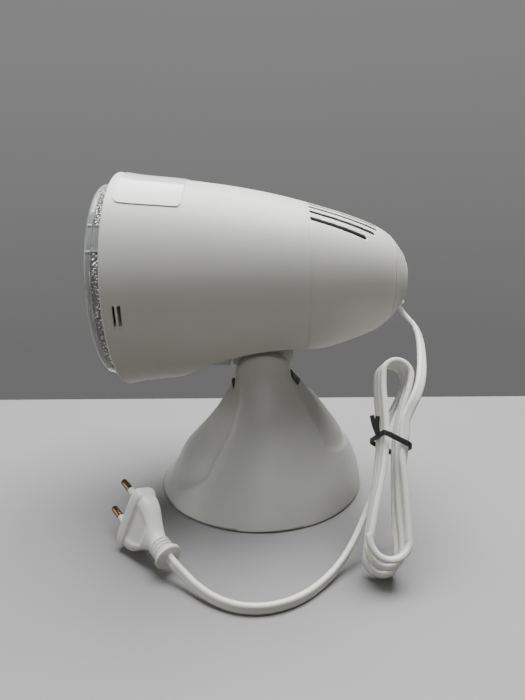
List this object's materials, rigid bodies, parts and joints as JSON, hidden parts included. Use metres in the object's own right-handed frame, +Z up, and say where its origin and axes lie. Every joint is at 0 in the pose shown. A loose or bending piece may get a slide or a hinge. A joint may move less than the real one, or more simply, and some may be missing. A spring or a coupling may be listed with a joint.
{
  "type": "infrared heat therapy lamp",
  "caption": "Table heat lamp: a pressed glass reflector lamp in a tilting, vented plastic head on a bell-shaped base, with its bundled mains cord and flat plug.",
  "frame": {"origin": "centre of the base pad on the table", "axes": "+Z up, the lamp shines towards -X, the cord leaves the back of the head at +X, the hinge pin lies along Y"},
  "size_m": [0.2027, 0.2074, 0.2108],
  "materials": {
    "base_white": "fine grained",
    "brass": "plain",
    "ceramic": "glazed",
    "cord_white": "soft sheath",
    "fibre": "pressed fibre",
    "insulator_dark": "glass bead",
    "label_white": "glossy film",
    "lens_glass": "stippled and clear",
    "mirror_coat": "aluminised glass",
    "rubber": "soft",
    "shell_shade": "matt moulded",
    "shell_white": "matt moulded",
    "steel": "plain",
    "tie_black": "coated wire",
    "wire_blue": "insulation",
    "wire_brown": "insulation",
    "zinc": "zinc plated"
  },
  "bodies": {
    "base": {"ballast_plate": "steel", "ballast_screw_1": "zinc", "ballast_screw_2": "zinc", "base_pad": "rubber", "base_plate": "base_white", "base_screw_1": "zinc", "base_screw_2": "zinc", "base_screw_3": "zinc", "base_screw_4": "zinc", "base_shell": "base_white", "cord_hank": "cord_white", "cord_lead": "cord_white", "cord_tail": "cord_white", "detent_leaf": "steel", "pivot_bolt": "steel", "pivot_nut": "steel", "plug_body": "cord_white", "plug_pin_lower": "brass", "plug_pin_upper": "brass", "plug_sleeve_lower": "cord_white", "plug_sleeve_upper": "cord_white", "twist_tie": "tie_black", "washer_far": "fibre", "washer_near": "fibre"},
    "head": {"blank_label": "label_white", "clamp_screw_1": "zinc", "clamp_screw_2": "zinc", "cord_clamp": "shell_shade", "cord_sleeve": "cord_white", "front_shell": "shell_white", "holder_plate": "zinc", "holder_screw_1": "zinc", "holder_screw_2": "zinc", "inner_cord": "cord_white", "lamp_contact": "brass", "lamp_filament": "steel", "lamp_insulator": "insulator_dark", "lamp_lens": "lens_glass", "lamp_mount": "ceramic", "lamp_reflector": "mirror_coat", "lamp_ring": "shell_shade", "lamp_screw_cap": "brass", "lampholder_body": "ceramic", "lampholder_shell": "brass", "lampholder_spring": "brass", "neck_bracket": "shell_shade", "neck_screw_1": "zinc", "neck_screw_2": "zinc", "neck_screw_3": "zinc", "neck_screw_4": "zinc", "plate_screw_1": "zinc", "plate_screw_2": "zinc", "plate_screw_3": "zinc", "rear_cap": "shell_white", "rear_cover": "shell_white", "terminal_block": "ceramic", "vent_baffle": "shell_shade", "wire_live": "wire_brown", "wire_neutral": "wire_blue"}
  },
  "joints": [
    {"name": "head_tilt", "type": "hinge", "parent": "base", "child": "head", "pos_m": [0.0018, 0, 0.0785], "axis": [0, 1, 0], "range_deg": [-10, 30], "deforming": ["cord_lead"]}
  ]
}
